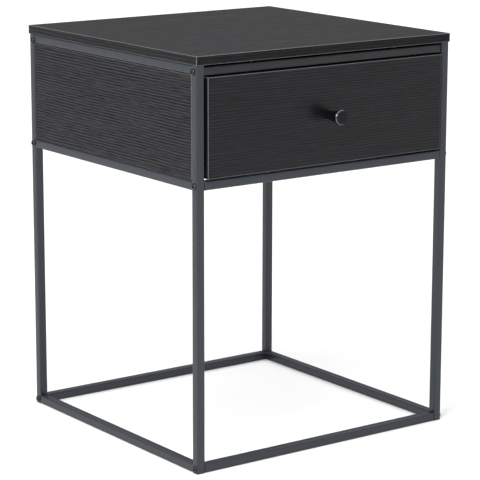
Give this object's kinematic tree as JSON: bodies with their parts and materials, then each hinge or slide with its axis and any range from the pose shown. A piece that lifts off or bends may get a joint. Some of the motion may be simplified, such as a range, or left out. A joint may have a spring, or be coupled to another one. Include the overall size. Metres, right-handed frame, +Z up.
{
  "type": "side table with drawer",
  "caption": "Square side table with an open black square-tube steel frame, board top and sides, and a shallow drawer with a round knob on roller runners.",
  "frame": {"origin": "centre of the footprint on the floor, knob included", "axes": "+Z up, the drawer opens towards -Y, +X is to the right of someone facing the drawer"},
  "size_m": [0.4252, 0.442, 0.55],
  "materials": {
    "frame_steel": "satin black powder coat",
    "board": "black stained ash grain laminate on board, matt",
    "drawer_board": "plain black laminate on board",
    "knob": "gloss black lacquer on turned metal",
    "screw_steel": "black oxide steel",
    "runner_steel": "black powder coated pressed steel",
    "roller": "natural nylon"
  },
  "bodies": {
    "frame": {"post_front_left": "frame_steel", "post_front_right": "frame_steel", "post_rear_left": "frame_steel", "post_rear_right": "frame_steel", "side_rail_left_top": "frame_steel", "side_rail_left_mid": "frame_steel", "side_rail_left_floor": "frame_steel", "side_rail_right_top": "frame_steel", "side_rail_right_mid": "frame_steel", "side_rail_right_floor": "frame_steel", "cross_rail_front_top": "frame_steel", "cross_rail_front_mid": "frame_steel", "cross_rail_front_floor": "frame_steel", "cross_rail_rear_top": "frame_steel", "cross_rail_rear_mid": "frame_steel", "cross_rail_rear_floor": "frame_steel", "frame_screw_front_left_top": "screw_steel", "frame_screw_front_left_mid": "screw_steel", "frame_screw_front_left_floor": "screw_steel", "frame_screw_front_right_top": "screw_steel", "frame_screw_front_right_mid": "screw_steel", "frame_screw_front_right_floor": "screw_steel", "frame_screw_rear_left_top": "screw_steel", "frame_screw_rear_left_mid": "screw_steel", "frame_screw_rear_left_floor": "screw_steel", "frame_screw_rear_right_top": "screw_steel", "frame_screw_rear_right_mid": "screw_steel", "frame_screw_rear_right_floor": "screw_steel", "top_screw_front_left": "screw_steel", "top_screw_front_right": "screw_steel", "top_screw_rear_left": "screw_steel", "top_screw_rear_right": "screw_steel", "top_panel": "board", "side_panel_left": "board", "side_panel_right": "board", "back_panel": "board", "channel_screw_left_front": "screw_steel", "channel_screw_left_rear": "screw_steel", "runner_channel_left": "runner_steel", "channel_screw_right_front": "screw_steel", "channel_screw_right_rear": "screw_steel", "runner_channel_right": "runner_steel"},
    "drawer": {"drawer_front": "board", "drawer_side_left": "drawer_board", "drawer_side_right": "drawer_board", "drawer_back": "drawer_board", "drawer_bottom": "drawer_board", "knob": "knob", "knob_screw": "screw_steel", "angle_screw_left_front": "screw_steel", "angle_screw_left_rear": "screw_steel", "runner_angle_left": "runner_steel", "angle_screw_right_front": "screw_steel", "angle_screw_right_rear": "screw_steel", "runner_angle_right": "runner_steel"},
    "front_roller_left": {"front_roller_left": "roller"},
    "rear_roller_left": {"rear_roller_left": "roller"},
    "front_roller_right": {"front_roller_right": "roller"},
    "rear_roller_right": {"rear_roller_right": "roller"}
  },
  "joints": [
    {"name": "drawer_slide", "type": "slide", "parent": "frame", "child": "drawer", "axis": [0, -1, 0], "range_m": [0, 0.26]},
    {"name": "front_roller_left_turn", "type": "hinge", "parent": "frame", "child": "front_roller_left", "pos_m": [-0.19295, -0.1685, 0.4169], "axis": [1, 0, 0], "range_deg": [0, 2267]},
    {"name": "rear_roller_left_turn", "type": "hinge", "parent": "drawer", "child": "rear_roller_left", "pos_m": [-0.19295, 0.16, 0.4163], "axis": [1, 0, 0], "range_deg": [0, 2267]},
    {"name": "front_roller_right_turn", "type": "hinge", "parent": "frame", "child": "front_roller_right", "pos_m": [0.19295, -0.1685, 0.4169], "axis": [1, 0, 0], "range_deg": [0, 2267]},
    {"name": "rear_roller_right_turn", "type": "hinge", "parent": "drawer", "child": "rear_roller_right", "pos_m": [0.19295, 0.16, 0.4163], "axis": [1, 0, 0], "range_deg": [0, 2267]}
  ],
  "couplings": [
    {"joint": "front_roller_left_turn", "follows": "drawer_slide", "rad_per_m": 151.52},
    {"joint": "rear_roller_left_turn", "follows": "drawer_slide", "rad_per_m": 151.52},
    {"joint": "front_roller_right_turn", "follows": "drawer_slide", "rad_per_m": 151.52},
    {"joint": "rear_roller_right_turn", "follows": "drawer_slide", "rad_per_m": 151.52}
  ]
}
